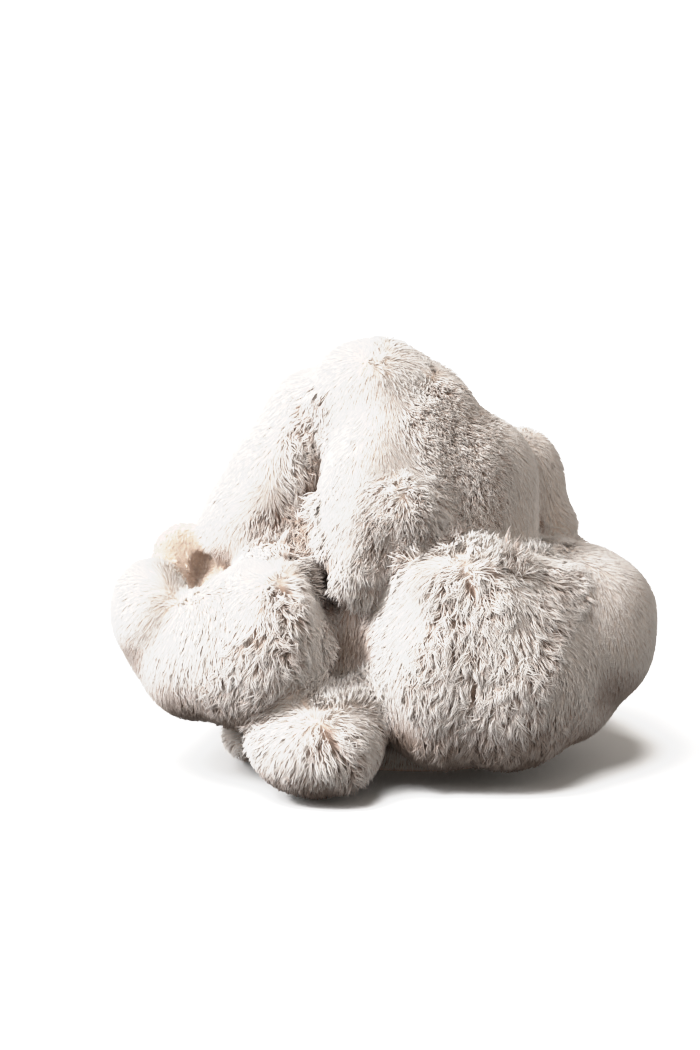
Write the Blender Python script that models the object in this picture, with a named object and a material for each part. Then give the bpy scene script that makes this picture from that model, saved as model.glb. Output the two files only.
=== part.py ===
"""Lion's mane mushroom, as picked: one fruiting body grown in soft lobes, shaggy with hanging teeth.

Metres, +Z up, front towards -Y. The body rests on the flat cut where it grew, at z = 0, and the
origin lies on that plane, under the middle of the body's box.
"""

import math

import bmesh
import bpy
from mathutils import Euler, Matrix, Vector, noise
from mathutils.bvhtree import BVHTree

MM = 0.001
NAME = "fruiting_body"

# The masses that the body has grown in. Each is a handful of lumps that melt into one smooth form,
# and the creases lie between the masses. A lump is its centre and its radii in millimetres, with a
# roll about Y in degrees. X runs to the right as seen from the front, and Z starts at the cut.
MASSES = {
    "crown": [
        ((-4, 2, 136), (24, 26, 23), 0),
        ((10, 3, 118), (28, 32, 33), 0),
        ((3, -12, 124), (24, 19, 22), 0),
        ((8, -12, 106), (27, 26, 36), 0),
        ((-5, -23, 101), (18, 22, 34), 4),
        ((-10, -28, 83), (12, 17, 17), 0),
        ((28, -11, 106), (18, 21, 27), -10),
        ((40, 2, 103), (17, 22, 28), -4),
        ((43, 2, 90), (15, 22, 22), -4),
        ((8, -34, 102), (13, 14, 16), 0),
        ((6, 24, 108), (27, 24, 32), 0),
    ],
    "back_right_lobe": [
        ((51, 34, 99), (18, 22, 22), 0),
        ((53, 30, 88), (17, 20, 16), 0),
        ((60, 28, 84), (14, 16, 10), 0),
    ],
    "left_shoulder": [
        ((-27, 12, 127), (16, 22, 20), 20),
        ((-38, 4, 108), (18, 22, 26), 30),
        ((-48, 4, 92), (18, 22, 22), 25),
        ((-31, 8, 100), (16, 20, 26), 0),
    ],
    "left_neck": [
        ((-34, -8, 75), (20, 21, 19), 0),
        ((-22, -6, 84), (14, 18, 18), 0),
    ],
    "ear": [
        ((-73, 4, 78), (12, 5, 13), 20),
        ((-64, 2, 68), (12, 8, 14), 0),
    ],
    "left_lobe_outer": [
        ((-82, -14, 60), (16, 24, 21), -8),
        ((-77, -14, 50), (16, 24, 20), 0),
    ],
    "left_lobe": [
        ((-65, -20, 47), (25, 26, 25), 0),
        ((-53, -28, 49), (24, 28, 28), -20),
        ((-42, -32, 53), (23, 30, 30), 0),
        ((-41, -26, 67), (21, 25, 16), 0),
        ((-35, -33, 73), (11, 13, 12), 0),
    ],
    "front_lobe": [
        ((-24, -46, 20), (24, 23, 18), 0),
        ((-15, -38, 28), (15, 16, 13), 0),
    ],
    "low_left_lobe": [
        ((-46, 0, 10), (13, 15, 9), 0),
    ],
    "right_lobe": [
        ((22, -30, 46), (30, 30, 39), 0),
        ((43, -27, 43), (34, 33, 37), 0),
        ((30, -33, 79), (19, 17, 15), 0),
        ((14, -36, 77), (12, 15, 15), 0),
        ((40, -34, 66), (22, 21, 18), 0),
        ((26, -20, 82), (20, 18, 12), 0),
        ((48, -21, 69), (22, 24, 16), 0),
        ((58, -14, 66), (20, 22, 17), 0),
        ((64, -8, 28), (22, 28, 17), 0),
        ((72, 0, 52), (29, 38, 31), -6),
        ((63, 0, 71), (19, 26, 14), 15),
    ],
    "middle": [
        ((6, 10, 45), (38, 38, 46), 0),
        ((-12, -14, 47), (13, 21, 33), 0),
    ],
    "foot": [
        ((12, 10, 12), (38, 27, 24), 0),
    ],
    "back_left_shoulder": [
        ((-32, 24, 92), (24, 24, 28), 0),
    ],
    "back_left_lobe": [
        ((-46, 32, 50), (34, 31, 35), 0),
        ((-58, 14, 46), (26, 28, 28), 0),
    ],
    "back_middle_lobe": [
        ((4, 48, 50), (34, 28, 40), 0),
        ((-8, 50, 34), (26, 24, 22), 0),
    ],
    "back_small_lobe": [
        ((27, 40, 86), (17, 16, 17), 20),
    ],
    "back_right_low_lobe": [
        ((54, 36, 50), (34, 30, 34), 0),
        ((40, 46, 34), (24, 22, 22), 0),
    ],
}

# What is sunk into the fused masses: the pit beside the ear. The last number is a turn about Z.
HOLLOWS = {
    "ear_pit": ((-66, -14, 75), (6.5, 16, 9), -15, 0),
}

FUSE_VOXEL = 2.0 * MM
MELTING = 28  # smoothing passes inside a mass
THIN_MASSES = {"ear": 3, "low_left_lobe": 10}  # passes in those that would melt away
UNEVENNESS = 3.0 * MM
UNEVENNESS_SIZE = 26 * MM
CREASE_SMOOTHING = 4

# The shag: each face of the coarse skin ends in one tuft of teeth that stands out and hangs down.
SKIN_FACES = 3150
TUFT_LIFT = 2.0 * MM
TUFT_HANG = 3.0 * MM
UNDERSIDE_HANG = 1.0 * MM
TUFT_SWAY = 1.5 * MM
SWAY_SIZE = 7 * MM
SWAY_SEED = 5
WALL_GAP = 1.5 * MM
WELD = 0.05 * MM
LOG_DEPTH = 60 * MM
CUT_MARGIN = 0.6 * MM  # skin this close to the cut's plane is laid on it
TIP_CLEARANCE = 0.3 * MM  # and no tuft reaches further down than this

FLESH_COLOUR = (0.86, 0.81, 0.75, 1)
FLESH_ROUGHNESS = 0.9


def link(name, mesh):
    obj = bpy.data.objects.new(name, mesh)
    bpy.context.scene.collection.objects.link(obj)
    return obj


def add_lump(bm, centre, radii, roll, yaw=0):
    """One lump: a ball stretched to its radii, turned and put in its place."""
    turn = Euler((0, math.radians(roll), math.radians(yaw)))
    place = Matrix.LocRotScale(Vector(centre) * MM, turn, Vector(radii) * MM)
    bmesh.ops.create_icosphere(bm, subdivisions=4, radius=1, matrix=place)


def lumps_object(name, lumps):
    bm = bmesh.new()
    for lump in lumps:
        add_lump(bm, *lump)
    mesh = bpy.data.meshes.new(name)
    bm.to_mesh(mesh)
    bm.free()
    return link(name, mesh)


def add_fusing(obj, passes):
    """Fuses what overlaps into one skin of even faces, and softens its creases."""
    remesh = obj.modifiers.new("fuse", "REMESH")
    remesh.mode = "VOXEL"
    remesh.voxel_size = FUSE_VOXEL
    soften = obj.modifiers.new("soften", "SMOOTH")
    soften.factor = 0.5
    soften.iterations = passes


def shaped_mesh(obj):
    """The mesh that the object's modifiers give. The object itself is taken away."""
    shaped = obj.evaluated_get(bpy.context.evaluated_depsgraph_get())
    mesh = bpy.data.meshes.new_from_object(shaped)
    bpy.data.objects.remove(obj)
    return mesh


def melted_mass(name, lumps):
    mass = lumps_object(name, lumps)
    add_fusing(mass, THIN_MASSES.get(name, MELTING))
    clouds = bpy.data.textures.new(name, "CLOUDS")
    clouds.noise_scale = UNEVENNESS_SIZE
    clouds.noise_depth = 1
    uneven = mass.modifiers.new("uneven", "DISPLACE")
    uneven.texture = clouds
    uneven.texture_coords = "GLOBAL"
    uneven.strength = UNEVENNESS
    return shaped_mesh(mass)


def log_surface():
    """A block up to z = 0, which takes the body off flat where it was picked from its log."""
    bm = bmesh.new()
    place = Matrix.LocRotScale(Vector((0, 0, -LOG_DEPTH / 2)), None, Vector((1, 1, LOG_DEPTH)))
    bmesh.ops.create_cube(bm, size=1, matrix=place)
    mesh = bpy.data.meshes.new("log_surface")
    bm.to_mesh(mesh)
    bm.free()
    return link("log_surface", mesh)


def fused_flesh():
    """The body under its shag, cut off at the foot."""
    bm = bmesh.new()
    for name, lumps in MASSES.items():
        bm.from_mesh(melted_mass(name, lumps))
    mesh = bpy.data.meshes.new("flesh")
    bm.to_mesh(mesh)
    bm.free()
    flesh = link("flesh", mesh)
    add_fusing(flesh, CREASE_SMOOTHING)
    cutters = [lumps_object(name, [hollow]) for name, hollow in HOLLOWS.items()]
    cutters.append(log_surface())
    for cutter in cutters:
        sink = flesh.modifiers.new(cutter.name, "BOOLEAN")
        sink.operation = "DIFFERENCE"
        sink.object = cutter
    mesh = shaped_mesh(flesh)
    for cutter in cutters:
        bpy.data.objects.remove(cutter)
    return mesh


def coarse_skin(flesh):
    """The flesh's skin in as few faces as its lobes and creases need."""
    bm = bmesh.new()
    bm.from_mesh(flesh)
    bmesh.ops.triangulate(bm, faces=bm.faces)
    all_faces = len(bm.faces)
    bm.to_mesh(flesh)
    bm.free()
    skin = link("skin", flesh)
    thin_out = skin.modifiers.new("thin_out", "DECIMATE")
    thin_out.ratio = SKIN_FACES / all_faces
    return shaped_mesh(skin)


def tuft_reach(tip, walls):
    """Where a tuft's tip goes from the middle of its face: out, down and a little aside."""
    out = tip.normal
    down = Vector((0, 0, -1)) - out * -out.z
    sway = noise.noise_vector(tip.co / SWAY_SIZE) * TUFT_SWAY
    lift = TUFT_LIFT + UNDERSIDE_HANG * max(0, -out.z)
    reach = out * lift + down * TUFT_HANG + sway
    start = tip.co + out * WELD
    wall = walls.ray_cast(start, reach.normalized(), 2 * reach.length + WALL_GAP)[3]
    if wall is not None:
        reach *= max(0, wall - WALL_GAP) / (2 * reach.length)
    return reach


def raise_tufts(bm):
    """Pulls the middle of each face out to a tip. The cut stays flat."""
    for vert in bm.verts:
        if abs(vert.co.z) < CUT_MARGIN:
            vert.co.z = 0
    bm.normal_update()
    walls = BVHTree.FromBMesh(bm)
    grown = [face for face in bm.faces if any(vert.co.z > 0 for vert in face.verts)]
    tips = bmesh.ops.poke(bm, faces=grown)["verts"]
    bm.normal_update()
    noise.seed_set(SWAY_SEED)
    reaches = [tuft_reach(tip, walls) for tip in tips]
    for tip, reach in zip(tips, reaches):
        tip.co += reach
        tip.co.z = max(tip.co.z, TIP_CLEARANCE)


def centre_on_origin(bm):
    """Brings the middle of the body's box over the origin, and gives the shift that it took."""
    lowest = Vector(min(vert.co[axis] for vert in bm.verts) for axis in range(3))
    highest = Vector(max(vert.co[axis] for vert in bm.verts) for axis in range(3))
    shift = (lowest + highest) / -2
    shift.z = 0
    bmesh.ops.translate(bm, verts=bm.verts, vec=shift)
    return shift


def shaggy_skin(flesh):
    bm = bmesh.new()
    bm.from_mesh(coarse_skin(flesh))
    raise_tufts(bm)
    centre_on_origin(bm)
    mesh = bpy.data.meshes.new(NAME)
    bm.to_mesh(mesh)
    bm.free()
    mesh.shade_smooth()
    return mesh


def white_flesh():
    material = bpy.data.materials.new("white_flesh")
    material.use_nodes = True
    shader = material.node_tree.nodes["Principled BSDF"]
    shader.inputs["Base Color"].default_value = FLESH_COLOUR
    shader.inputs["Roughness"].default_value = FLESH_ROUGHNESS
    shader.inputs["Metallic"].default_value = 0
    return material


def main():
    for obj in list(bpy.data.objects):
        bpy.data.objects.remove(obj)
    body = link(NAME, shaggy_skin(fused_flesh()))
    body.data.materials.append(white_flesh())


if __name__ == "__main__":
    main()
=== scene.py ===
"""The look of the lion's mane mushroom: soft white lobes under a shag of short hanging teeth.

Metres, +Z up, front towards -Y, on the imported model's frame. The flesh is grown from the same
lumps as the solid, and each tooth is a small closed spike that stands in the flesh.
"""

import math

import bmesh
import bpy
import numpy as np
from mathutils import Euler, Matrix, Vector, kdtree, noise
from mathutils.bvhtree import BVHTree


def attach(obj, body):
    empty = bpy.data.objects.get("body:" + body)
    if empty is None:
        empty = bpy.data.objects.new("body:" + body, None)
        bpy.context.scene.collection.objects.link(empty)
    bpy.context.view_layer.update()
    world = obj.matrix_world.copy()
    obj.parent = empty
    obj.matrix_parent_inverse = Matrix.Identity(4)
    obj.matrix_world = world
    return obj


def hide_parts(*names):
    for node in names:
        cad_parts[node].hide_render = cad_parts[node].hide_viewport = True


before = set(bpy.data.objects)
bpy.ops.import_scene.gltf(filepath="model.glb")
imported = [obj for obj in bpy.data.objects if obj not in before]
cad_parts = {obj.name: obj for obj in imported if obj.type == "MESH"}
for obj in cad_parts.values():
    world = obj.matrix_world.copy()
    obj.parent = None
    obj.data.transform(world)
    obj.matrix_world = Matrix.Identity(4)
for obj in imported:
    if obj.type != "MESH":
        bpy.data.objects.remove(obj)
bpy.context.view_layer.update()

MM = 0.001
NODE = "fruiting_body"

# The masses that the body has grown in. A lump is its centre and its radii in millimetres, with a
# roll about Y in degrees. X runs to the right as seen from the front, and Z starts at the cut.
MASSES = {
    "crown": [
        ((-4, 2, 136), (24, 26, 23), 0),
        ((10, 3, 118), (28, 32, 33), 0),
        ((3, -12, 124), (24, 19, 22), 0),
        ((8, -12, 106), (27, 26, 36), 0),
        ((-5, -23, 101), (18, 22, 34), 4),
        ((-10, -28, 83), (12, 17, 17), 0),
        ((28, -11, 106), (18, 21, 27), -10),
        ((40, 2, 103), (17, 22, 28), -4),
        ((43, 2, 90), (15, 22, 22), -4),
        ((8, -34, 102), (13, 14, 16), 0),
        ((6, 24, 108), (27, 24, 32), 0),
    ],
    "back_right_lobe": [
        ((51, 34, 99), (18, 22, 22), 0),
        ((53, 30, 88), (17, 20, 16), 0),
        ((60, 28, 84), (14, 16, 10), 0),
    ],
    "left_shoulder": [
        ((-27, 12, 127), (16, 22, 20), 20),
        ((-38, 4, 108), (18, 22, 26), 30),
        ((-48, 4, 92), (18, 22, 22), 25),
        ((-31, 8, 100), (16, 20, 26), 0),
    ],
    "left_neck": [
        ((-34, -8, 75), (20, 21, 19), 0),
        ((-22, -6, 84), (14, 18, 18), 0),
    ],
    "ear": [
        ((-73, 4, 78), (12, 5, 13), 20),
        ((-64, 2, 68), (12, 8, 14), 0),
    ],
    "left_lobe_outer": [
        ((-82, -14, 60), (16, 24, 21), -8),
        ((-77, -14, 50), (16, 24, 20), 0),
    ],
    "left_lobe": [
        ((-65, -20, 47), (25, 26, 25), 0),
        ((-53, -28, 49), (24, 28, 28), -20),
        ((-42, -32, 53), (23, 30, 30), 0),
        ((-41, -26, 67), (21, 25, 16), 0),
        ((-35, -33, 73), (11, 13, 12), 0),
    ],
    "front_lobe": [
        ((-24, -46, 20), (24, 23, 18), 0),
        ((-15, -38, 28), (15, 16, 13), 0),
    ],
    "low_left_lobe": [
        ((-46, 0, 10), (13, 15, 9), 0),
    ],
    "right_lobe": [
        ((22, -30, 46), (30, 30, 39), 0),
        ((43, -27, 43), (34, 33, 37), 0),
        ((30, -33, 79), (19, 17, 15), 0),
        ((14, -36, 77), (12, 15, 15), 0),
        ((40, -34, 66), (22, 21, 18), 0),
        ((26, -20, 82), (20, 18, 12), 0),
        ((48, -21, 69), (22, 24, 16), 0),
        ((58, -14, 66), (20, 22, 17), 0),
        ((64, -8, 28), (22, 28, 17), 0),
        ((72, 0, 52), (29, 38, 31), -6),
        ((63, 0, 71), (19, 26, 14), 15),
    ],
    "middle": [
        ((6, 10, 45), (38, 38, 46), 0),
        ((-12, -14, 47), (13, 21, 33), 0),
    ],
    "foot": [
        ((12, 10, 12), (38, 27, 24), 0),
    ],
    "back_left_shoulder": [
        ((-32, 24, 92), (24, 24, 28), 0),
    ],
    "back_left_lobe": [
        ((-46, 32, 50), (34, 31, 35), 0),
        ((-58, 14, 46), (26, 28, 28), 0),
    ],
    "back_middle_lobe": [
        ((4, 48, 50), (34, 28, 40), 0),
        ((-8, 50, 34), (26, 24, 22), 0),
    ],
    "back_small_lobe": [
        ((27, 40, 86), (17, 16, 17), 20),
    ],
    "back_right_low_lobe": [
        ((54, 36, 50), (34, 30, 34), 0),
        ((40, 46, 34), (24, 22, 22), 0),
    ],
}

# What is sunk into the fused masses, given as the lumps are.
HOLLOWS = {
    "ear_pit": ((-66, -14, 75), (6.5, 16, 9), -15),
}

FUSE_VOXEL = 2.0 * MM
MELTING = 28  # smoothing passes inside a mass
THIN_MASSES = {"ear": 3, "low_left_lobe": 10}  # with fewer passes, or they would shrink away
UNEVENNESS = 3.0 * MM
UNEVENNESS_SIZE = 26 * MM
CREASE_SMOOTHING = 4
LOG_DEPTH = 60 * MM
CUT_MARGIN = 0.6 * MM

# From the lumps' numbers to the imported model's frame.
BODY_SHIFT = np.array((-1.24, -4.01, 0.0)) * MM

HANGING_WAY = (-0.10, 0.30, -1.0)  # the way that the teeth hang where nothing parts them

# Where the teeth part and lean away on all sides: centre and reach in millimetres, and strength.
WHORLS = [
    ((-24, -61, 32), 22, 1.6),
    ((29, -48, 84), 24, 1.1),
    ((-36, -43, 81), 20, 0.9),
    ((5, -46, 109), 14, 0.55),
    ((-72, -32, 69), 26, 1.6),
    ((65, 4, 83), 20, 0.9),
    ((-39, -18, 103), 16, 0.8),
]

# Where the teeth are long, curled and tufted: centre and reach in millimetres.
SHAGGY_PLACES = [
    ((24, -12, 141), 12),
    ((31, -14, 130), 14),
    ((18, -25, 133), 16),
    ((22, -30, 120), 17),
    ((34, -24, 118), 16),
    ((26, -33, 108), 15),
    ((36, -27, 106), 15),
    ((4, -46, 105), 16),
    ((0, -43, 90), 14),
    ((-24, -10, 137), 11),
    ((-24, -9, 124), 15),
    ((-27, -13, 110), 15),
    ((-29, -18, 97), 15),
    ((-30, -23, 88), 13),
    ((-42, -20, 94), 10),
    ((-47, -59, 51), 18),
    ((-56, -55, 42), 14),
    ((-35, -57, 68), 14),
    ((-33, -49, 77), 11),
    ((-40, -61, 58), 16),
    ((30, -51, 74), 19),
    ((26, -58, 57), 20),
    ((34, -59, 40), 19),
    ((47, -57, 54), 18),
    ((16, -58, 43), 13),
    ((48, -58, 32), 15),
    ((63, -34, 77), 14),
    ((57, -46, 69), 13),
    ((45, -38, 84), 10),
    ((22, -35, 92), 10),
    ((-17, -66, 25), 13),
    ((-12, -64, 16), 10),
    ((-44, -52, 30), 12),
    ((38, -55, 21), 15),
    ((20, -54, 26), 12),
    ((58, -50, 28), 12),
]

# Where they are a little longer and looser than sleek, but lie combed: centre and reach in
# millimetres.
COMBED_PLACES = [
    ((-22, -58, 22), 40),
    ((-30, -50, 50), 34),
    ((-54, -50, 44), 30),
    ((42, -54, 40), 50),
    ((-8, -34, 50), 30),
    ((-6, -38, 84), 24),
    ((-33, -21, 90), 18),
    ((12, -8, 148), 22),
]

# Where they stay sleek for certain: centre and reach in millimetres.
SLEEK_PLACES = [((54, 28, 96), 34), ((82, 10, 66), 30)]

# Where even the shaggy ones are short: centre and reach in millimetres.
SHORT_PLACES = [
    ((24, -16, 140), 26),
    ((30, -24, 124), 26),
    ((34, -26, 108), 22),
    ((5, -44, 106), 20),
]

# Long loose teeth along the edges of lobes: centre and reach in millimetres, and where they point.
FRINGES = [
    ((-19, -49, 38), 11, (0, -0.5, 1)),
    ((-8, -45, 39), 10, (0.3, -0.4, 1)),
    ((-28, -30, 81), 9, (0.9, -0.3, 0.25)),
    ((-24, -33, 76), 7, (1, -0.4, 0.1)),
    ((-21, -40, 57), 8, (0.5, -0.5, -1)),
    ((9, -43, 91), 7, (-0.4, -0.6, 1)),
    ((22, -40, 92), 9, (0.1, -0.6, 1)),
    ((34, -44, 89), 10, (0.3, -0.7, 1)),
    ((46, -40, 84), 9, (-0.2, -0.7, 1)),
    ((55, -20, 83), 6, (-0.4, -0.5, 1)),
    ((-43, -22, 87), 10, (0.1, -0.6, -1)),
    ((-34, -18, 93), 9, (0.2, -0.6, -1)),
    ((-23, -25, 104), 8, (-0.8, -0.1, -1)),
    ((-22, -31, 92), 8, (-0.7, -0.1, -1)),
    ((-14, -41, 80), 9, (-0.3, -0.4, -1)),
    ((-8, -41, 73), 8, (0, -0.4, -1)),
    ((13, -44, 109), 8, (0.5, -0.6, -0.6)),
    ((20, -40, 100), 9, (0.6, -0.4, -0.8)),
    ((-75, -19, 75), 6, (0.5, -0.3, -0.8)),
    ((-46, -13, 12), 9, (-0.5, -0.8, 0.1)),
]

BACK_SHAG_SIZE = 24 * MM  # of the shaggy patches on the back
BACK_SHAG_START = 12 * MM  # how far behind the middle they begin

# Deep creases and undersides, where teeth and skin are painted darker and browner as shade:
# centre and reach in millimetres.
PAINTED_SHADE_PLACES = [
    ((-11, -38, 58), 15),
    ((-17, -30, 82), 13),
    ((-28, -26, 88), 10),
    ((-22, -10, 112), 10),
    ((6, -47, 22), 14),
    ((-8, -40, 26), 10),
    ((14, -38, 98), 7),
    ((20, -38, 94), 8),
    ((56, -40, 10), 16),
    ((70, -28, 14), 14),
    ((54, 8, 88), 10),
    ((-24, -14, 108), 9),
    ((-26, -18, 96), 10),
    ((-30, -24, 88), 11),
    ((-21, -25, 77), 10),
    ((-31, -22, 91), 10),
]

# The ear and what lies beside it, where the teeth are dried and tan.
TAN_PLACES = [((-74, 2, 81), 13), ((-66, -3, 72), 10), ((-68, -12, 74), 12)]

SLEEK_DEPTH = 0.5 * MM  # how far the skin lies under the flesh's outer surface
SHAGGY_DEPTH = 2.0 * MM
ROOT_DEPTH = 0.2 * MM  # how far the teeth are rooted below the skin
SKIN_FACES = 26000

SEED = 11
TOOTH_FACES = 4
CURLED_FACES = 6
FACE_BUDGET = 930000
SLEEK_PER_MM2 = 2.0  # before the budget of faces is shared out
SHAGGY_PER_MM2 = 2.3
SLEEK_LENGTH = 5.4 * MM
SHAGGY_LENGTH = 7.6 * MM
TOOTH_WIDTH = 0.50 * MM
PILE_HEIGHT = 0.95 * MM
SHAGGY_HEIGHT = 2.3 * MM
TIP_CLEARANCE = 0.3 * MM
BEND_AT = 0.6  # of a curled tooth's length
TUFT_SPACING = 3.4 * MM
LOCK_SPACING = 2.0 * MM
LOCK_STRETCH = 3.0  # how much longer a lock is than it is wide
LOCK_CHOICES = 8  # how many of the nearest locks a tooth chooses from
EVEN_STEPS = (0.7548776662, 0.5698402910)  # from one root to the next, which fill a face evenly
EVEN_JITTER = 0.2
CORNER_TONES = (0.0, 0.012, -0.012)  # what sets the sides of one tooth apart

CREASE_DEPTH = 5 * MM
CREASE_CLOSED = 0.35  # how open a point lies where a crease is sunk in full
CREASE_OPEN = 0.68  # and where it isn't sunk at all
CREASE_SHARE = 0.3  # the most of a wall's thickness that a crease takes
CREASE_START = 6 * MM  # the height up to which creases run out towards the cut
OPEN_REACH = 30 * MM
OPEN_RAYS = 18


# ---- The flesh, grown as the solid is ----


def link(name, mesh):
    obj = bpy.data.objects.new(name, mesh)
    bpy.context.scene.collection.objects.link(obj)
    return obj


def mesh_from(bm, name):
    mesh = bpy.data.meshes.new(name)
    bm.to_mesh(mesh)
    bm.free()
    return mesh


def add_lump(bm, centre, radii, roll):
    """One lump: a ball stretched to its radii, turned and put in its place."""
    turn = Euler((0, math.radians(roll), 0))
    place = Matrix.LocRotScale(Vector(centre) * MM, turn, Vector(radii) * MM)
    bmesh.ops.create_icosphere(bm, subdivisions=4, radius=1, matrix=place)


def lumps_object(name, lumps):
    bm = bmesh.new()
    for lump in lumps:
        add_lump(bm, *lump)
    return link(name, mesh_from(bm, name))


def add_fusing(obj, passes):
    """Fuses what overlaps into one skin of even faces, and softens its creases."""
    remesh = obj.modifiers.new("fuse", "REMESH")
    remesh.mode = "VOXEL"
    remesh.voxel_size = FUSE_VOXEL
    soften = obj.modifiers.new("soften", "SMOOTH")
    soften.factor = 0.5
    soften.iterations = passes


def shaped_mesh(obj):
    """The mesh that the object's modifiers give. The object itself is taken away."""
    shaped = obj.evaluated_get(bpy.context.evaluated_depsgraph_get())
    mesh = bpy.data.meshes.new_from_object(shaped)
    bpy.data.objects.remove(obj)
    return mesh


def melted_mass(name, lumps):
    mass = lumps_object(name, lumps)
    add_fusing(mass, THIN_MASSES.get(name, MELTING))
    clouds = bpy.data.textures.new(name, "CLOUDS")
    clouds.noise_scale = UNEVENNESS_SIZE
    clouds.noise_depth = 1
    uneven = mass.modifiers.new("uneven", "DISPLACE")
    uneven.texture = clouds
    uneven.texture_coords = "GLOBAL"
    uneven.strength = UNEVENNESS
    return shaped_mesh(mass)


def log_surface():
    """A block up to z = 0, which takes the body off flat where it was picked from its log."""
    bm = bmesh.new()
    place = Matrix.LocRotScale(Vector((0, 0, -LOG_DEPTH / 2)), None, Vector((1, 1, LOG_DEPTH)))
    bmesh.ops.create_cube(bm, size=1, matrix=place)
    return link("log_surface", mesh_from(bm, "log_surface"))


def fused_flesh():
    """The body under its teeth, cut off at the foot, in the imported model's frame."""
    bm = bmesh.new()
    for name, lumps in MASSES.items():
        bm.from_mesh(melted_mass(name, lumps))
    flesh = link("flesh", mesh_from(bm, "flesh"))
    add_fusing(flesh, CREASE_SMOOTHING)
    cutters = [lumps_object(name, [hollow]) for name, hollow in HOLLOWS.items()]
    cutters.append(log_surface())
    for cutter in cutters:
        sink = flesh.modifiers.new(cutter.name, "BOOLEAN")
        sink.operation = "DIFFERENCE"
        sink.object = cutter
    mesh = shaped_mesh(flesh)
    for cutter in cutters:
        bpy.data.objects.remove(cutter)
    mesh.transform(Matrix.Translation(Vector(BODY_SHIFT)))
    return mesh


# ---- The flesh's surface as arrays, and what grows where on it ----


def in_frame(place):
    """A place in the lumps' millimetres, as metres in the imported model's frame."""
    return np.array(place) * MM + BODY_SHIFT


def unit(vectors):
    return vectors / np.maximum(np.linalg.norm(vectors, axis=-1, keepdims=True), 1e-12)


def dot(a, b):
    return np.sum(a * b, axis=-1, keepdims=True)


def along_surface(vectors, normals):
    return vectors - normals * dot(vectors, normals)


def ramp(values, low, high):
    """0 below low, 1 above high, and a soft rise between them."""
    t = np.clip((values - low) / (high - low), 0, 1)
    return t * t * (3 - 2 * t)


def cloud(points, size, offset):
    """Soft random hills and dips over space, about -1 to 1."""
    shift = Vector((offset, offset * 0.7, offset * 1.3))
    return np.array([noise.noise(Vector(p) + shift) for p in points / size])


def cloud_vectors(points, size, offset):
    return np.stack([cloud(points, size, offset + 31 * axis) for axis in range(3)], axis=1)


class Surface:
    """The flesh's points, outward directions and triangles."""

    def __init__(self, mesh):
        mesh.calc_loop_triangles()
        self.points = np.empty((len(mesh.vertices), 3))
        mesh.vertices.foreach_get("co", self.points.ravel())
        normals = np.empty((len(mesh.vertices), 3))
        mesh.vertex_normals.foreach_get("vector", normals.ravel())
        self.edges = np.empty((len(mesh.edges), 2), int)
        mesh.edges.foreach_get("vertices", self.edges.ravel())
        self.triangles = np.empty((len(mesh.loop_triangles), 3), int)
        mesh.loop_triangles.foreach_get("vertices", self.triangles.ravel())
        self.normals = unit(self.eased(normals, 3))
        self.walls = BVHTree.FromPolygons(self.points.tolist(), self.triangles.tolist())

    def eased(self, values, passes):
        """Values at the points, evened out with those of their neighbours."""
        many = len(self.points)
        values = values.reshape(many, -1)
        share = np.bincount(self.edges.ravel(), minlength=many)[:, None] + 1
        one, other = self.edges.T
        for _ in range(passes):
            total = values.copy()
            for column in range(values.shape[1]):
                total[:, column] += np.bincount(one, values[other, column], many)
                total[:, column] += np.bincount(other, values[one, column], many)
            values = total / share
        return values

    def areas(self):
        corners = self.points[self.triangles]
        sides = np.cross(corners[:, 1] - corners[:, 0], corners[:, 2] - corners[:, 0])
        return np.linalg.norm(sides, axis=1) / 2

    def openness(self):
        """How open each point lies, from 0 deep in a crease to 1 on a free slope."""
        turn = np.arange(OPEN_RAYS) * math.pi * (3 - math.sqrt(5))
        lift = np.sqrt((np.arange(OPEN_RAYS) + 0.5) / OPEN_RAYS)
        spread = np.sqrt(1 - lift**2)
        side = unit(np.cross(self.normals, (0.31, 0.53, 0.79)))
        other = np.cross(self.normals, side)
        result = np.empty(len(self.points))
        for i, (point, out) in enumerate(zip(self.points, self.normals)):
            start = Vector(point + out * MM)
            rays = (
                out * lift[:, None]
                + side[i] * (spread * np.cos(turn))[:, None]
                + other[i] * (spread * np.sin(turn))[:, None]
            )
            free = 0.0
            for ray in rays.tolist():
                wall = self.walls.ray_cast(start, ray, OPEN_REACH)[3]
                free += 1 if wall is None else wall / OPEN_REACH
            result[i] = free / OPEN_RAYS
        return self.eased(result, 2)[:, 0]

    def nearness(self, places):
        """1 in the middle of the nearest of the places, falling to 0 at its reach."""
        best = np.zeros(len(self.points))
        for centre, reach in places:
            away = np.linalg.norm(self.points - in_frame(centre), axis=1) / (reach * MM)
            best = np.maximum(best, 1 - away)
        return best

    def mass_numbers(self):
        """The mass that each point belongs to, as its number in MASSES."""
        away = np.full((len(MASSES), len(self.points)), np.inf)
        for row, lumps in enumerate(MASSES.values()):
            for centre, radii, roll in lumps:
                turn = np.array(Euler((0, math.radians(roll), 0)).to_matrix())
                local = (self.points - in_frame(centre)) @ turn
                reach = np.linalg.norm(local / (np.array(radii) * MM), axis=1)
                away[row] = np.minimum(away[row], reach)
        return np.argmin(away, axis=0)


def deepened(mesh, surface):
    """The flesh with its creases sunk further, but never through a thin wall."""
    sink = CREASE_DEPTH * (1 - ramp(surface.openness(), CREASE_CLOSED, CREASE_OPEN))
    for i, (point, out) in enumerate(zip(surface.points, surface.normals)):
        across = surface.walls.ray_cast(Vector(point - out * 0.1 * MM), Vector(-out))[3]
        sink[i] = min(sink[i], CREASE_SHARE * max((across or 0) - 2 * SHAGGY_DEPTH, 0))
    sink = surface.eased(sink * ramp(surface.points[:, 2], CUT_MARGIN, CREASE_START), 3)
    points = surface.points - surface.normals * sink
    mesh.vertices.foreach_set("co", points.astype(np.float32).ravel())
    mesh.update()
    return Surface(mesh)


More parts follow.
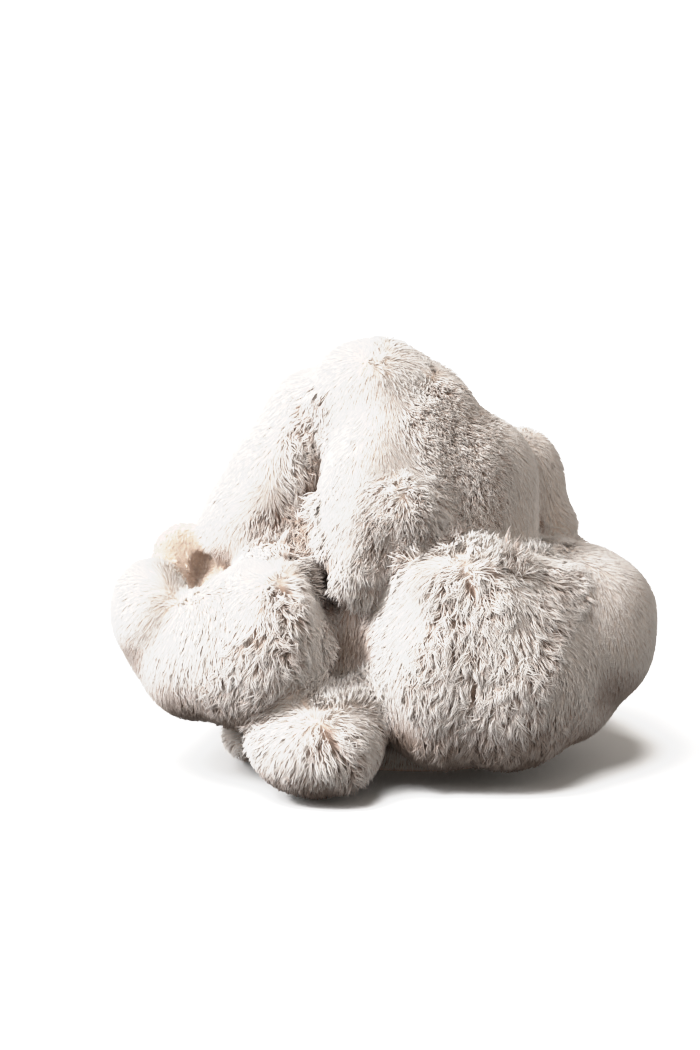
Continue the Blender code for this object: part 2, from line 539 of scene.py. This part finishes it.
def shag(surface):
    """How shaggy the teeth are at each point, from 0, sleek, to 1."""
    front = ramp(surface.nearness(SHAGGY_PLACES), 0.05, 0.5)
    uneven = cloud(surface.points, 9 * MM, 40)
    front *= ramp(uneven, -0.75, -0.1)
    patches = cloud(surface.points, BACK_SHAG_SIZE, 7) + 0.4 * cloud(surface.points, 9 * MM, 3)
    behind = ramp(surface.points[:, 1], BACK_SHAG_START, BACK_SHAG_START * 2.5)
    shaggy = np.maximum(front, 0.8 * ramp(patches, -0.3, 0.5) * behind)
    loosely = 0.20 * np.maximum(ramp(surface.nearness(COMBED_PLACES), 0, 0.35), behind)
    shaggy = np.maximum(shaggy, loosely * ramp(uneven, -0.9, 0.1))
    return shaggy * (1 - ramp(surface.nearness(SLEEK_PLACES), 0, 0.4))


def lean(surface):
    """The way that the teeth lie at each point: mostly down, parted at whorls, never quite even."""
    down = np.tile(HANGING_WAY, (len(surface.points), 1))
    flow = along_surface(down, surface.normals)
    for centre, reach, strength in WHORLS:
        away = surface.points - in_frame(centre)
        far = np.linalg.norm(away, axis=1, keepdims=True)
        pull = strength * np.exp(-((far / (reach * MM)) ** 2))
        flow += unit(along_surface(away, surface.normals)) * pull
    flow += cloud_vectors(surface.points, 22 * MM, 5) * 0.4
    flow += cloud_vectors(surface.points, 7 * MM, 9) * 0.25
    still = 1 - ramp(np.linalg.norm(flow, axis=1, keepdims=True), 0.1, 0.6)
    flow += cloud_vectors(surface.points, 3.5 * MM, 13) * still * 0.8
    return unit(along_surface(surface.eased(flow, 2), surface.normals))


def combed(surface, flow):
    """1 where the teeth around a point lie one way, falling to 0 in the middle of a whorl."""
    return ramp(np.linalg.norm(surface.eased(flow, 8), axis=1), 0.5, 0.93)


def fringe(surface):
    """The way that loose teeth point at each point, as long as they are loose there: 0 to 1."""
    way = np.zeros_like(surface.points)
    most = np.zeros((len(surface.points), 1))
    for centre, reach, direction in FRINGES:
        away = np.linalg.norm(surface.points - in_frame(centre), axis=1, keepdims=True)
        near = ramp(1 - away / (reach * MM), 0, 0.6)
        way += near * unit(np.array(direction, float))
        most = np.maximum(most, near)
    return unit(way) * most


# ---- Teeth ----


def spread_over(surface, density, many):
    """Roots spread evenly over the surface: their triangles and their weights of its corners."""
    share = np.cumsum(surface.areas() * density[surface.triangles].mean(axis=1))
    count = np.arange(many)
    at = (count + rng.random(many)) / many * share[-1]
    triangle = np.searchsorted(share, at)
    u = (count * EVEN_STEPS[0] + rng.random(many) * EVEN_JITTER) % 1
    v = (count * EVEN_STEPS[1] + rng.random(many) * EVEN_JITTER) % 1
    root_u = np.sqrt(u)
    weights = np.stack([1 - root_u, root_u * (1 - v), root_u * v], axis=1)
    return triangle, weights


def held_by(surface, values, triangle, weights):
    """Values of the surface's points, taken at roots between them."""
    return np.einsum("nk,nk...->n...", weights, values[surface.triangles[triangle]])


def tree_of(seeds):
    tree = kdtree.KDTree(len(seeds))
    for i, seed in enumerate(seeds.tolist()):
        tree.insert(seed, i)
    tree.balance()
    return tree


def nearest_of(seeds, points):
    tree = tree_of(seeds)
    return np.array([tree.find(point)[1] for point in points.tolist()])


def nearest_lengthwise(seeds, points, ways):
    """The seed that each point lies nearest to, with distances along its way counted as shorter."""
    tree = tree_of(seeds)
    near = [[found[1] for found in tree.find_n(point, LOCK_CHOICES)] for point in points.tolist()]
    near = np.array(near)
    offset = seeds[near] - points[:, None]
    along = dot(offset, ways[:, None])[..., 0]
    far = np.sum(offset**2, axis=-1) - along**2 * (1 - 1 / LOCK_STRETCH**2)
    return near[np.arange(len(points)), np.argmin(far, axis=1)]


def laid_on(surface, points):
    """The flesh below points near it, and its outward direction there."""
    below = np.empty((len(points), 3))
    face = np.empty(len(points), int)
    find = surface.walls.find_nearest
    for i, point in enumerate(points.tolist()):
        place, _, face[i], _ = find(point)
        below[i] = place
    out = unit(surface.normals[surface.triangles[face]].mean(axis=1))
    return below, out


def grouped(surface, density, spacing, nearest):
    """Groups about a spacing apart, and for each tooth what the group that it lies in is like.

    Both kinds of group draw the same, so that the draws after them keep their order.
    """
    many = int(surface.areas().sum() / spacing**2)
    triangle, weights = spread_over(surface, np.minimum(density, 1), many)
    place = held_by(surface, surface.points, triangle, weights)
    mine = nearest(place)
    return {
        "place": place[mine],
        "lean": rng.normal(0, 1, (many, 3))[mine],
        "big": rng.random((many, 1))[mine],
        "curl": rng.normal(0, 1, (many, 1))[mine],
    }


def curl_chance(shaggy):
    return shaggy * 1.2 - 0.1


class Teeth:
    """All teeth as arrays: where each is rooted, bends and ends, its size and its tone."""

    def __init__(self, surface, fields, many, width_gain):
        density = fields["density"]
        triangle, weights = spread_over(surface, density, many)

        def at(values):
            return held_by(surface, values, triangle, weights)

        def one(values):
            return at(values)[:, None]

        self.mass = fields["mass"][surface.triangles[triangle, 0]]
        foot = at(surface.points)
        out = unit(at(surface.normals))
        shaggy = one(fields["shag"])
        open_air = one(fields["open"])
        tan = one(fields["tan"])
        short = one(fields["short"]) * shaggy
        upright = 1 - one(fields["combed"])
        under = ramp(-out[:, 2:], 0.05, 0.8)
        edge = at(fields["fringe"])
        edge_weight = np.linalg.norm(edge, axis=1, keepdims=True)
        loose = ramp(edge_weight, 0.1, 0.7) * (rng.random((many, 1)) < 0.75)
        self.curled = rng.random(many) < curl_chance(np.maximum(shaggy, edge_weight)[:, 0])

        # Which way it lies: with the grain, but astray with its round tuft and its long lock.
        grain = at(fields["lean"])
        tuft = grouped(surface, density, TUFT_SPACING, lambda seeds: nearest_of(seeds, foot))
        lock = grouped(
            surface, density, LOCK_SPACING, lambda seeds: nearest_lengthwise(seeds, foot, grain)
        )
        stray = tuft["lean"] * (0.06 + 0.12 * shaggy) + lock["lean"] * (0.05 + 0.20 * shaggy)
        stray = stray + lock["lean"] * 1.3 * upright
        stray = stray + rng.normal(0, 1, (many, 3)) * (0.10 - 0.03 * shaggy + 0.18 * short)
        lay = unit(along_surface(grain + stray, out))
        way = unit(lay * (1 - loose) + (unit(edge) + stray * 1.6) * loose)

        # How long it is, and how high its tip stands over the flesh.
        length = SLEEK_LENGTH + (SHAGGY_LENGTH - SLEEK_LENGTH) * shaggy
        length = length * (0.75 + 0.35 * rng.random((many, 1)) + 0.3 * shaggy * (tuft["big"] - 0.5))
        length = length * (0.7 + 0.3 * ramp(open_air, 0.1, 0.45)) * (1 - 0.6 * tan)
        length = length * (1 - 0.65 * upright * (1 - shaggy))
        length = length * (1 + 0.05 * loose) * (1 - 0.5 * short)
        height = PILE_HEIGHT + (SHAGGY_HEIGHT - PILE_HEIGHT) * shaggy
        height = height + rng.normal(0, 1, (many, 1)) * (0.14 + 0.18 * shaggy + 0.45 * short) * MM
        heaped = (tuft["big"] - 0.5) * 1.2 + (lock["big"] - 0.5) * 2.0
        height = height + heaped * shaggy * (1 - 0.75 * short) * MM
        height = height * (0.6 + 0.4 * ramp(open_air, 0.1, 0.5)) * (1 - 0.6 * tan)
        height = height + upright * 0.5 * MM

        # Where it ends: drawn into its lock, and laid on the flesh or hanging free of it.
        pull = (0.05 + 0.15 * shaggy) * along_surface(tuft["place"] - foot, out)
        gather = (0.08 + 0.72 * shaggy**1.5) * (1 - 0.8 * short)
        inward = along_surface(lock["place"] - foot, out)
        pull = pull + gather * (inward - 0.8 * grain * dot(inward, grain))
        aim = foot + way * length + pull
        below, below_out = laid_on(surface, aim)
        laid = below + below_out * height
        free = aim + out * height * (1 - 0.5 * loose)
        turned_under = out[:, 2:] - below_out[:, 2:]
        hang = np.clip(0.1 + 2.0 * (turned_under - 0.25) + 0.35 * shaggy, 0, 0.9)
        hang = np.maximum(hang, loose)
        self.tip = laid * (1 - hang) + free * hang

        # Its root, bend and width, and how far its sides are set off from each other.
        self.root = foot - out * (one(fields["depth"]) + ROOT_DEPTH)
        self.out = out
        rise = (0.5 + 0.7 * rng.random((many, 1))) * MM
        curl = lock["curl"] * 1.3 * shaggy * (1 - 0.7 * short) + rng.normal(0, 0.35, (many, 1))
        self.bend = self.root + (self.tip - self.root) * BEND_AT
        self.bend += out * rise + np.cross(out, lay) * curl * MM
        width = TOOTH_WIDTH * (0.8 + 0.4 * rng.random((many, 1)))
        self.width = width * (1 - 0.25 * short) * width_gain
        self.crisp = 0.15 + 0.6 * shaggy

        # Its tone: painted shade, brown in the creases and on undersides and white in the open,
        # which loose teeth are mostly kept out of; a little darker where shaggy, and tan on the
        # ear.
        lit = one(fields["pale"]) * (1 - 0.8 * under)
        lit = np.maximum(lit, 0.9 * loose * ramp(one(fields["pale"]), 0.05, 0.35))
        tone = 0.03 + 0.68 * lit * (1 - 0.27 * shaggy * (1 - upright))
        tone = tone + (0.04 + 0.20 * shaggy * (1 - 0.7 * short)) * (lock["big"] - 0.5)
        tone = np.clip(tone + (0.03 + 0.13 * short) * rng.normal(0, 1, (many, 1)), 0.02, 0.72)
        self.tone = np.where(tan > 0.35, 0.86 + 0.1 * rng.random((many, 1)), tone)[:, 0]


def ring(centre, axis, out, width):
    """Three corners round an axis, with one of them outward."""
    side = unit(np.cross(out, axis))
    up = np.cross(axis, side)
    corners = []
    for turn in (90, 210, 330):
        a = math.radians(turn)
        corners.append(centre + (side * math.cos(a) + up * math.sin(a)) * width / 2)
    return np.stack(corners, axis=1)


STRAIGHT_SIDES = np.array([(0, 1, 3), (1, 2, 3), (2, 0, 3), (2, 1, 0)])
CURLED_SIDES = np.array([(2, 1, 0), (3, 2, 0), (1, 3, 0), (1, 2, 4), (2, 3, 4), (3, 1, 4)])


def spikes(teeth, which):
    """The straight teeth among those asked for, and the curled ones: corners, sides and maps."""
    parts = []
    for curled, sides, heights in (
        (False, STRAIGHT_SIDES, (0, 0, 0, 1)),
        (True, CURLED_SIDES, (0, BEND_AT, BEND_AT, BEND_AT, 1)),
    ):
        mine = np.nonzero(which & (teeth.curled == curled))[0]
        root, tip, out, width = (a[mine] for a in (teeth.root, teeth.tip, teeth.out, teeth.width))
        if curled:
            bend = teeth.bend[mine]
            round_bend = ring(bend, unit(tip - root), out, width)
            corners = np.concatenate([root[:, None], round_bend, tip[:, None]], axis=1)
            core = np.stack([root - out, bend, bend, bend, tip - out], axis=1)
        else:
            round_root = ring(root, unit(tip - root), out, width)
            corners = np.concatenate([round_root, tip[:, None]], axis=1)
            core = np.stack([root, root, root, tip - out], axis=1)
        corners[..., 2] = np.maximum(corners[..., 2], TIP_CLEARANCE)
        crisp = teeth.crisp[mine][:, None]
        softened = unit(unit(corners - core) * crisp + out[:, None] * (1 - 0.5 * crisp))
        aside = np.resize(CORNER_TONES, len(heights)) * (np.array(heights) < 1)
        tone = teeth.tone[mine][:, None] + aside
        up = np.tile(np.array(heights, float), (len(mine), 1))
        parts.append((corners, sides, softened, tone, up))
    return parts


def spike_mesh(name, parts):
    corners = np.concatenate([c.reshape(-1, 3) for c, _, _, _, _ in parts])
    normals = np.concatenate([n.reshape(-1, 3) for _, _, n, _, _ in parts])
    tone = np.concatenate([t.ravel() for _, _, _, t, _ in parts])
    up = np.concatenate([u.ravel() for _, _, _, _, u in parts])
    faces, start = [], 0
    for c, sides, _, _, _ in parts:
        many, each = c.shape[:2]
        faces.append((sides[None] + start + np.arange(many)[:, None, None] * each).reshape(-1, 3))
        start += many * each
    faces = np.concatenate(faces)
    mesh = bpy.data.meshes.new(name)
    mesh.vertices.add(len(corners))
    mesh.vertices.foreach_set("co", corners.astype(np.float32).ravel())
    mesh.loops.add(faces.size)
    mesh.loops.foreach_set("vertex_index", faces.astype(np.int32).ravel())
    mesh.polygons.add(len(faces))
    mesh.polygons.foreach_set("loop_start", np.arange(0, faces.size, 3, dtype=np.int32))
    chart = mesh.uv_layers.new(name="OFBake")
    chart_points = np.stack([tone[faces.ravel()], up[faces.ravel()]], axis=1)
    chart.uv.foreach_set("vector", chart_points.astype(np.float32).ravel())
    straight = len(parts[0][0]) * len(parts[0][1])
    look = np.where(np.arange(len(faces)) < straight, 0, 1).astype(np.int32)
    mesh.polygons.foreach_set("material_index", look)
    mesh.update()
    mesh.shade_smooth()
    shading = mesh.attributes.new("custom_normal", "FLOAT_VECTOR", "POINT")
    shading.data.foreach_set("vector", normals.astype(np.float32).ravel())
    return mesh


# ---- Materials ----


def colour_group(name, inputs, outputs):
    """A shader group with named sockets: inputs as (name, kind, value), outputs as (name, kind)."""
    group = bpy.data.node_groups.new(name, "ShaderNodeTree")
    for socket, kind, value in inputs:
        made = group.interface.new_socket(name=socket, in_out="INPUT", socket_type=kind)
        made.default_value = value
    for socket, kind in outputs:
        group.interface.new_socket(name=socket, in_out="OUTPUT", socket_type=kind)
    return group, group.nodes.new("NodeGroupInput"), group.nodes.new("NodeGroupOutput")


def sponge_group():
    """Damp spongy flesh: mottled between two colours, with the height of its fine pores."""
    group, start, end = colour_group(
        "spongy_flesh",
        [
            ("Pale", "NodeSocketColor", (1, 1, 1, 1)),
            ("Deep", "NodeSocketColor", (0.5, 0.5, 0.5, 1)),
            ("Mottle Scale", "NodeSocketFloat", 90.0),
            ("Pore Scale", "NodeSocketFloat", 900.0),
        ],
        [("Color", "NodeSocketColor"), ("Height", "NodeSocketFloat")],
    )
    nodes, links = group.nodes, group.links
    place = nodes.new("ShaderNodeTexCoord")
    mottle = nodes.new("ShaderNodeTexNoise")
    mottle.inputs["Detail"].default_value = 4
    pores = nodes.new("ShaderNodeTexVoronoi")
    pore_depth = nodes.new("ShaderNodeMath")
    pore_depth.operation = "MULTIPLY"
    pore_depth.inputs[1].default_value = 0.35
    blend = nodes.new("ShaderNodeMath")
    mix = nodes.new("ShaderNodeMix")
    mix.data_type = "RGBA"
    links.new(place.outputs["Object"], mottle.inputs["Vector"])
    links.new(place.outputs["Object"], pores.inputs["Vector"])
    links.new(start.outputs["Mottle Scale"], mottle.inputs["Scale"])
    links.new(start.outputs["Pore Scale"], pores.inputs["Scale"])
    links.new(pores.outputs["Distance"], pore_depth.inputs[0])
    links.new(mottle.outputs["Fac"], blend.inputs[0])
    links.new(pore_depth.outputs["Value"], blend.inputs[1])
    links.new(blend.outputs["Value"], mix.inputs["Factor"])
    links.new(start.outputs["Deep"], mix.inputs["A"])
    links.new(start.outputs["Pale"], mix.inputs["B"])
    links.new(mix.outputs["Result"], end.inputs["Color"])
    links.new(pores.outputs["Distance"], end.inputs["Height"])
    return group


def new_material(name, roughness):
    material = bpy.data.materials.new(name)
    material.use_nodes = True
    shader = material.node_tree.nodes["Principled BSDF"]
    shader.inputs["Roughness"].default_value = roughness
    shader.inputs["Specular IOR Level"].default_value = 0.2
    return material, material.node_tree.nodes, material.node_tree.links, shader


def spongy_material(name, group, pale, deep, mottle, pores, bump):
    """Spongy flesh, mixed towards a pale colour by the painted light that the mesh carries."""
    material, nodes, links, shader = new_material(name, 0.85)
    sponge = nodes.new("ShaderNodeGroup")
    sponge.node_tree = group
    sponge.inputs["Pale"].default_value = pale
    sponge.inputs["Deep"].default_value = deep
    sponge.inputs["Mottle Scale"].default_value = mottle
    sponge.inputs["Pore Scale"].default_value = pores
    relief = nodes.new("ShaderNodeBump")
    relief.inputs["Strength"].default_value = bump
    relief.inputs["Distance"].default_value = 0.4 * MM
    # Painted light: pale where the flesh lies open, painted shade in creases and under shaggy
    # teeth.
    skin_light = nodes.new("ShaderNodeAttribute")
    skin_light.attribute_name = "painted_skin_light"
    painted_lit = nodes.new("ShaderNodeMix")
    painted_lit.data_type = "RGBA"
    painted_lit.inputs["B"].default_value = (0.86, 0.74, 0.66, 1)
    links.new(skin_light.outputs["Fac"], painted_lit.inputs["Factor"])
    links.new(sponge.outputs["Color"], painted_lit.inputs["A"])
    links.new(painted_lit.outputs["Result"], shader.inputs["Base Color"])
    links.new(sponge.outputs["Height"], relief.inputs["Height"])
    links.new(relief.outputs["Normal"], shader.inputs["Normal"])
    return material


def colour_ramp(nodes, stops):
    made = nodes.new("ShaderNodeValToRGB")
    elements = made.color_ramp.elements
    while len(elements) > 1:
        elements.remove(elements[-1])
    elements[0].position, elements[0].color = stops[0]
    for position, colour in stops[1:]:
        elements.new(position).color = colour
    return made


def tooth_material(name, glow_through):
    """Teeth: brown in creases and on undersides as painted shade, near white in the open, tan on
    the ear.
    """
    material, nodes, links, shader = new_material(name, 0.62)
    shader.inputs["Subsurface Weight"].default_value = glow_through
    shader.inputs["Subsurface Radius"].default_value = (1.0, 1.0, 1.0)
    shader.inputs["Subsurface Scale"].default_value = 0.6 * MM
    chart = nodes.new("ShaderNodeUVMap")
    chart.uv_map = "OFBake"
    split = nodes.new("ShaderNodeSeparateXYZ")
    tips = colour_ramp(
        nodes,
        [
            (0.0, (0.42, 0.32, 0.26, 1)),
            (0.25, (0.66, 0.56, 0.50, 1)),
            (0.45, (0.87, 0.80, 0.76, 1)),
            (0.56, (0.95, 0.90, 0.86, 1)),
            (0.72, (0.96, 0.93, 0.90, 1)),
            (0.80, (0.88, 0.77, 0.70, 1)),
            (1.0, (0.72, 0.58, 0.50, 1)),
        ],
    )
    # The roots are darker than the tips: partly the flesh's warmth, partly painted shade between
    # teeth.
    roots = colour_ramp(
        nodes,
        [
            (0.0, (0.24, 0.15, 0.11, 1)),
            (0.30, (0.42, 0.31, 0.25, 1)),
            (0.52, (0.52, 0.38, 0.31, 1)),
            (0.61, (0.79, 0.68, 0.61, 1)),
            (0.68, (0.90, 0.82, 0.76, 1)),
            (0.80, (0.74, 0.58, 0.46, 1)),
        ],
    )
    along = nodes.new("ShaderNodeMapRange")
    along.interpolation_type = "SMOOTHSTEP"
    along.inputs["From Min"].default_value = 0.25
    along.inputs["From Max"].default_value = 0.92
    mix = nodes.new("ShaderNodeMix")
    mix.data_type = "RGBA"
    links.new(chart.outputs["UV"], split.inputs["Vector"])
    links.new(split.outputs["X"], tips.inputs["Fac"])
    links.new(split.outputs["X"], roots.inputs["Fac"])
    links.new(split.outputs["Y"], along.inputs["Value"])
    links.new(along.outputs["Result"], mix.inputs["Factor"])
    links.new(roots.outputs["Color"], mix.inputs["A"])
    links.new(tips.outputs["Color"], mix.inputs["B"])
    links.new(mix.outputs["Result"], shader.inputs["Base Color"])
    return material


# ---- Growing it ----


def thinned_skin(mesh, surface, depth):
    """The skin that the teeth stand in, a little under the flesh's surface, with the cut flat."""
    lowered = surface.points - surface.normals * depth[:, None]
    lowered[surface.points[:, 2] < CUT_MARGIN, 2] = 0
    mesh.vertices.foreach_set("co", lowered.astype(np.float32).ravel())
    mesh.update()
    skin = link("flesh", mesh)
    bm = bmesh.new()
    bm.from_mesh(mesh)
    bmesh.ops.triangulate(bm, faces=bm.faces)
    bm.to_mesh(mesh)
    all_faces = len(bm.faces)
    bm.free()
    thin_out = skin.modifiers.new("thin_out", "DECIMATE")
    thin_out.ratio = SKIN_FACES / all_faces
    return shaped_mesh(skin)


def give_skin_looks(mesh, looks, surface, skin_light):
    """The look of the cut where the skin lies flat on the floor, and each point's painted light."""
    mesh.materials.clear()
    for look in looks:
        mesh.materials.append(look)
    for face in mesh.polygons:
        if face.normal.z < -0.9 and face.center.z < CUT_MARGIN:
            face.material_index = 1
    mesh.shade_smooth()
    points = np.empty((len(mesh.vertices), 3))
    mesh.vertices.foreach_get("co", points.ravel())
    nearest = [surface.walls.find_nearest(point)[2] for point in points.tolist()]
    skin_light = skin_light[surface.triangles[nearest]].mean(axis=1)
    mesh.attributes.new("painted_skin_light", "FLOAT", "POINT").data.foreach_set("value", skin_light)


rng = np.random.default_rng(SEED)

flesh_mesh = fused_flesh()
surface = Surface(flesh_mesh)
surface = deepened(flesh_mesh, surface)
on_cut = (surface.points[:, 2] < CUT_MARGIN) & (surface.normals[:, 2] < -0.5)
fields = {
    "shag": shag(surface),
    "lean": lean(surface),
    "fringe": fringe(surface),
    "open": surface.openness(),
    "tan": ramp(surface.nearness(TAN_PLACES), 0.0, 0.4),
    "short": ramp(surface.nearness(SHORT_PLACES), 0.0, 0.4),
    "mass": surface.mass_numbers(),
}
# Painted shade: teeth and skin are painted darker where the flesh lies closed in a crease and near
# the painted-shade places, and stay pale where it lies open.
fields["pale"] = ramp(fields["open"], 0.25, 0.75) * (
    1 - 0.75 * ramp(surface.nearness(PAINTED_SHADE_PLACES), 0.0, 0.7)
)
fields["combed"] = combed(surface, fields["lean"])
fields["depth"] = SLEEK_DEPTH + (SHAGGY_DEPTH - SLEEK_DEPTH) * np.maximum(
    fields["shag"], 1 - ramp(fields["open"], 0.3, 0.7)
)
fields["density"] = (
    (SLEEK_PER_MM2 + (SHAGGY_PER_MM2 - SLEEK_PER_MM2) * fields["shag"])
    * (1.8 - 0.8 * fields["combed"])
    * (1 + 0.7 * fields["short"] * fields["shag"])
    * (1.15 - 0.35 * ramp(surface.points[:, 1], -20 * MM, 30 * MM))
    * (0.35 + 0.65 * ramp(fields["open"], 0.05, 0.35))
    * ~on_cut
)

budget = FACE_BUDGET
share_curled = np.average(
    np.clip(curl_chance(fields["shag"]), 0, 1), weights=fields["density"]
)
count = int(budget / (TOOTH_FACES + (CURLED_FACES - TOOTH_FACES) * share_curled))
width_gain = 1.0
teeth = Teeth(surface, fields, count, width_gain)

group = sponge_group()
skin_look = spongy_material(
    "flesh_between_teeth",
    group,
    pale=(0.72, 0.54, 0.44, 1),
    deep=(0.56, 0.40, 0.32, 1),
    mottle=70,
    pores=700,
    bump=0.3,
)
cut_look = spongy_material(
    "cut_flesh",
    group,
    pale=(0.88, 0.82, 0.70, 1),
    deep=(0.74, 0.63, 0.48, 1),
    mottle=45,
    pores=420,
    bump=0.8,
)
tooth_looks = [
    tooth_material("white_teeth", glow_through=0.0),
    tooth_material("curled_teeth", glow_through=0.25),
]

skin_mesh = thinned_skin(flesh_mesh, surface, fields["depth"])
skin_mesh.name = "flesh"
skin = link("flesh", skin_mesh)
# The skin's painted light: pale in the open, painted shade in creases and under shaggy teeth.
skin_light = fields["pale"] * (1 - 0.9 * ramp(fields["shag"], 0.3, 1.0) * fields["combed"]) * ~on_cut
give_skin_looks(skin_mesh, [skin_look, cut_look], surface, skin_light)
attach(skin, "root")
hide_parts(NODE)

ANY_HEIGHT = (-math.inf, math.inf)
RIGHT_LOBE_SPLIT = 48 * MM  # its teeth are too many for one mesh

# The teeth as pieces: the masses that they grow on, and the heights between which they are rooted.
PIECES = {
    "teeth_crown": (["crown"], ANY_HEIGHT),
    "teeth_back_right_lobe": (["back_right_lobe", "back_small_lobe"], ANY_HEIGHT),
    "teeth_left_shoulder": (["left_shoulder", "left_neck", "ear"], ANY_HEIGHT),
    "teeth_left_lobe": (["left_lobe", "left_lobe_outer", "low_left_lobe"], ANY_HEIGHT),
    "teeth_front_lobe": (["front_lobe", "middle", "foot"], ANY_HEIGHT),
    "teeth_right_lobe": (["right_lobe"], (RIGHT_LOBE_SPLIT, math.inf)),
    "teeth_right_lobe_low": (["right_lobe"], (-math.inf, RIGHT_LOBE_SPLIT)),
    "teeth_back_left": (["back_left_shoulder", "back_left_lobe"], ANY_HEIGHT),
    "teeth_back_right": (["back_middle_lobe", "back_right_low_lobe"], ANY_HEIGHT),
}
names = list(MASSES)
for piece_name, (masses, (lowest, highest)) in PIECES.items():
    which = np.isin(teeth.mass, [names.index(m) for m in masses])
    which &= (teeth.root[:, 2] >= lowest) & (teeth.root[:, 2] < highest)
    mesh = spike_mesh(piece_name, spikes(teeth, which))
    for look in tooth_looks:
        mesh.materials.append(look)
    piece = link(piece_name, mesh)
    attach(piece, "root")
    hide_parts(NODE)


# ---- Floor, light and camera ----

FLOOR_SIZE = 40.0
FLOOR_SEEN = 0.7  # overexposed, as the photo's floor is: only the deep shadow shows on it
FLOOR_BOUNCE = 0.03  # and it throws little light up
CAMERA_TARGET = Vector((-0.012, 0, 0.090)) + Vector(BODY_SHIFT)
CAMERA_DISTANCE = 1.2
CAMERA_ELEVATION = math.radians(12)
CAMERA_LENS = 112.7
SENSOR_WIDTH = 36
TONE_WHITE = 1.8  # the light that the tone curve's right end stands for
TONE_CURVE = [(0.3, 0.28), (0.6, 0.58), (0.85, 0.79), (1.1, 0.885), (1.4, 0.92)]


def white_floor():
    bm = bmesh.new()
    bmesh.ops.create_grid(bm, x_segments=1, y_segments=1, size=FLOOR_SIZE / 2)
    floor = link("floor", mesh_from(bm, "floor"))
    look, nodes, links, shader = new_material("white_floor", 0.9)
    seen = nodes.new("ShaderNodeLightPath")
    white = nodes.new("ShaderNodeMapRange")
    white.inputs["To Min"].default_value = FLOOR_BOUNCE
    white.inputs["To Max"].default_value = FLOOR_SEEN
    links.new(seen.outputs["Is Camera Ray"], white.inputs["Value"])
    links.new(white.outputs["Result"], shader.inputs["Base Color"])
    floor.data.materials.append(look)
    return floor


def sun(name, towards, strength, spread, colour=(1, 1, 1)):
    """Soft light from one side, given as the direction it comes from."""
    light = bpy.data.lights.new(name, "SUN")
    light.color = colour
    light.energy = strength
    light.angle = math.radians(spread)
    lamp = bpy.data.objects.new(name, light)
    bpy.context.scene.collection.objects.link(lamp)
    lamp.rotation_mode = "QUATERNION"
    lamp.rotation_quaternion = (-Vector(towards)).to_track_quat("-Z", "Y")
    return lamp


def studio_world():
    """A dim warm sky to light the body, seen as plain white behind it."""
    world = bpy.data.worlds.new("studio")
    world.use_nodes = True
    nodes, links = world.node_tree.nodes, world.node_tree.links
    ways = nodes.new("ShaderNodeTexCoord")
    split = nodes.new("ShaderNodeSeparateXYZ")
    sky = colour_ramp(nodes, [(0.0, (0.40, 0.36, 0.32, 1)), (0.9, (0.54, 0.50, 0.46, 1))])
    seen = nodes.new("ShaderNodeLightPath")
    shown = nodes.new("ShaderNodeMix")
    shown.data_type = "RGBA"
    shown.inputs["B"].default_value = (1, 1, 1, 1)
    links.new(ways.outputs["Generated"], split.inputs["Vector"])
    links.new(split.outputs["Z"], sky.inputs["Fac"])
    links.new(seen.outputs["Is Camera Ray"], shown.inputs["Factor"])
    links.new(sky.outputs["Color"], shown.inputs["A"])
    links.new(shown.outputs["Result"], nodes["Background"].inputs["Color"])
    return world


def photo_camera():
    """A camera where the photo's seems to have been: low in front, far off, with a long lens."""
    back = Vector((0, -math.cos(CAMERA_ELEVATION), math.sin(CAMERA_ELEVATION)))
    camera = bpy.data.objects.new("camera", bpy.data.cameras.new("camera"))
    bpy.context.scene.collection.objects.link(camera)
    camera.data.lens = CAMERA_LENS
    camera.data.sensor_width = SENSOR_WIDTH
    camera.location = CAMERA_TARGET + back * CAMERA_DISTANCE
    camera.rotation_mode = "QUATERNION"
    camera.rotation_quaternion = (-back).to_track_quat("-Z", "Y")
    return camera


def soften_highlights(settings):
    """The tone curve of a bright product photo: the lit flesh stays just under white."""
    settings.view_transform = "Standard"
    settings.use_curve_mapping = True
    curves = settings.curve_mapping
    curves.white_level = (TONE_WHITE,) * 3
    curve = curves.curves[3]
    for light, tone in TONE_CURVE:
        curve.points.new(light / TONE_WHITE, tone)
    curves.update()


floor = white_floor()
sun("soft_key", (-0.67, -0.38, 0.64), 3.6, 40)
sun("crisp_key", (-0.68, -0.34, 0.62), 2.6, 10)
sun("low_fill", (0.75, -0.60, 0.30), 0.52, 90, (1.0, 0.92, 0.85))
sun("warm_bounce", (-0.40, -1.0, 0.08), 0.32, 70, (1.0, 0.84, 0.72))
sun("back_fill", (0.15, 1.0, 0.12), 0.9, 80, (1.0, 0.95, 0.90))

# The floor has a lamp of its own, so that only what lies close under the body stays dark.
floor_lamp = sun("floor_lamp", (-0.25, -0.40, 1.0), 11.0, 40)
floor_only = bpy.data.collections.new("lit_by_floor_lamp")
floor_only.objects.link(floor)
floor_lamp.light_linking.receiver_collection = floor_only

bpy.context.scene.world = studio_world()
bpy.context.scene.camera = photo_camera()
soften_highlights(bpy.context.scene.view_settings)
